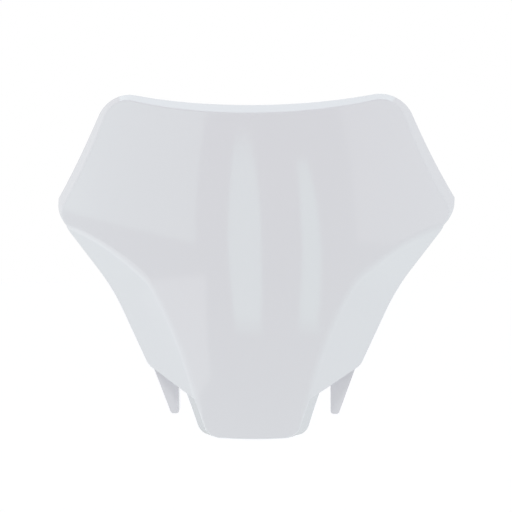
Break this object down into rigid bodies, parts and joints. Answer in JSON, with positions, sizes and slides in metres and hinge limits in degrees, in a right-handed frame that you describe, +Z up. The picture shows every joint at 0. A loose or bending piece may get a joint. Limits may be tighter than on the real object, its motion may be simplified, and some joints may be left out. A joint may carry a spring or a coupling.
{
  "type": "racing number board",
  "caption": "Moulded shell that carries a start number at the front of an off-road motorbike, with a flared rim, folded cheeks, a chin and lugs that plug into the holder below.",
  "frame": {"origin": "centre of the open end of the screw boss behind the face", "axes": "+X to the viewer's right when looking at the face, +Y back from the face, +Z up"},
  "size_m": [0.254, 0.0628, 0.2162],
  "materials": {
    "white_plastic": "gloss"
  },
  "bodies": {
    "root": {"number_board": "white_plastic"}
  },
  "joints": []
}
